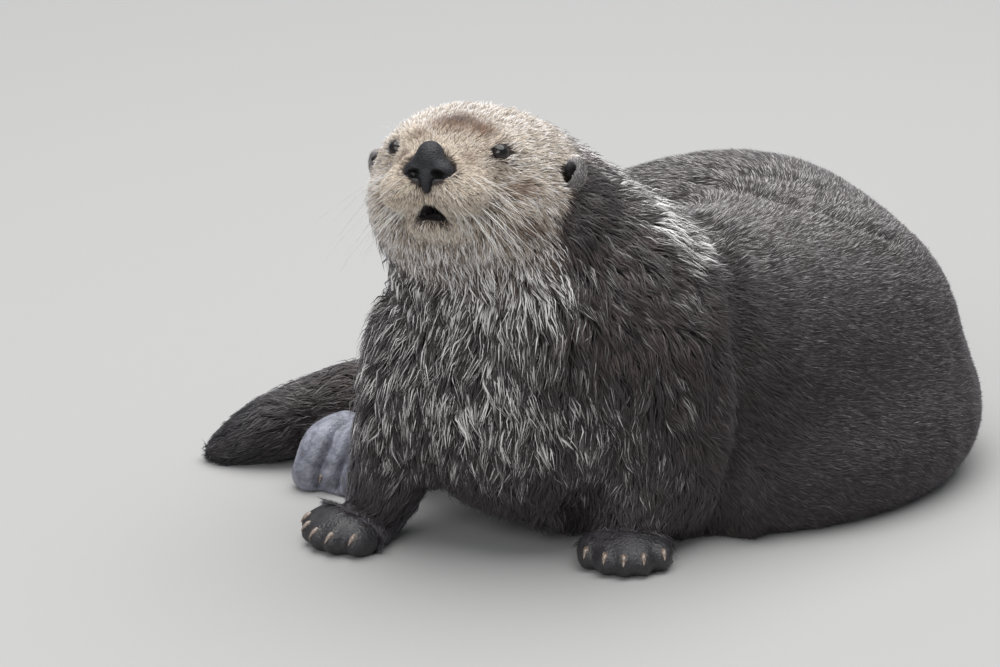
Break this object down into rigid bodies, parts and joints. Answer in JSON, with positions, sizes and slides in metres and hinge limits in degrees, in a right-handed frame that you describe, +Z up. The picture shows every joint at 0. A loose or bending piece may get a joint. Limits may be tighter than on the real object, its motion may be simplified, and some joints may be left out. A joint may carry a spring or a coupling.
{
  "type": "sea otter",
  "caption": "Life-size still sea otter sitting on its belly with raised pale head, dark furred body curled round behind it, bare paws, webbed hind feet and a short flattened tail.",
  "frame": {"origin": "On the floor plane, under the middle of the whole animal's bounding box.", "axes": "+Z is up. The chest faces -Y and the head turns a little towards -X. The trunk runs towards +X, the animal's left, and curls round to the +Y side. The tail and the right hind foot lie at -X."},
  "size_m": [0.6502, 0.5348, 0.3775],
  "materials": {
    "pale_coat": "soft pale cream fur with silver tips",
    "grey_coat": "wet spiky grey-brown fur with silver tips",
    "dark_coat": "short dense dark brown fur, slightly damp",
    "leg_coat": "short damp very dark brown fur",
    "ear_skin": "matt dark skin with fine short hair",
    "nose_skin": "finely pebbled matt black skin",
    "paw_skin": "rough damp black skin with small dark claws",
    "foot_skin": "smooth slate grey webbed skin",
    "eye": "wet glossy near-black"
  },
  "bodies": {
    "root": {"head": "pale_coat", "nose": "nose_skin", "eye_right": "eye", "eye_left": "eye", "ear_right": "ear_skin", "ear_left": "ear_skin", "neck": "grey_coat", "chest": "grey_coat", "trunk": "dark_coat", "hindquarters": "dark_coat", "tail": "dark_coat", "foreleg_right": "leg_coat", "foreleg_left": "leg_coat", "forepaw_right": "paw_skin", "forepaw_left": "paw_skin", "hind_leg_right": "dark_coat", "hind_leg_left": "dark_coat", "hind_foot_right": "foot_skin", "hind_foot_left": "foot_skin"}
  },
  "joints": []
}
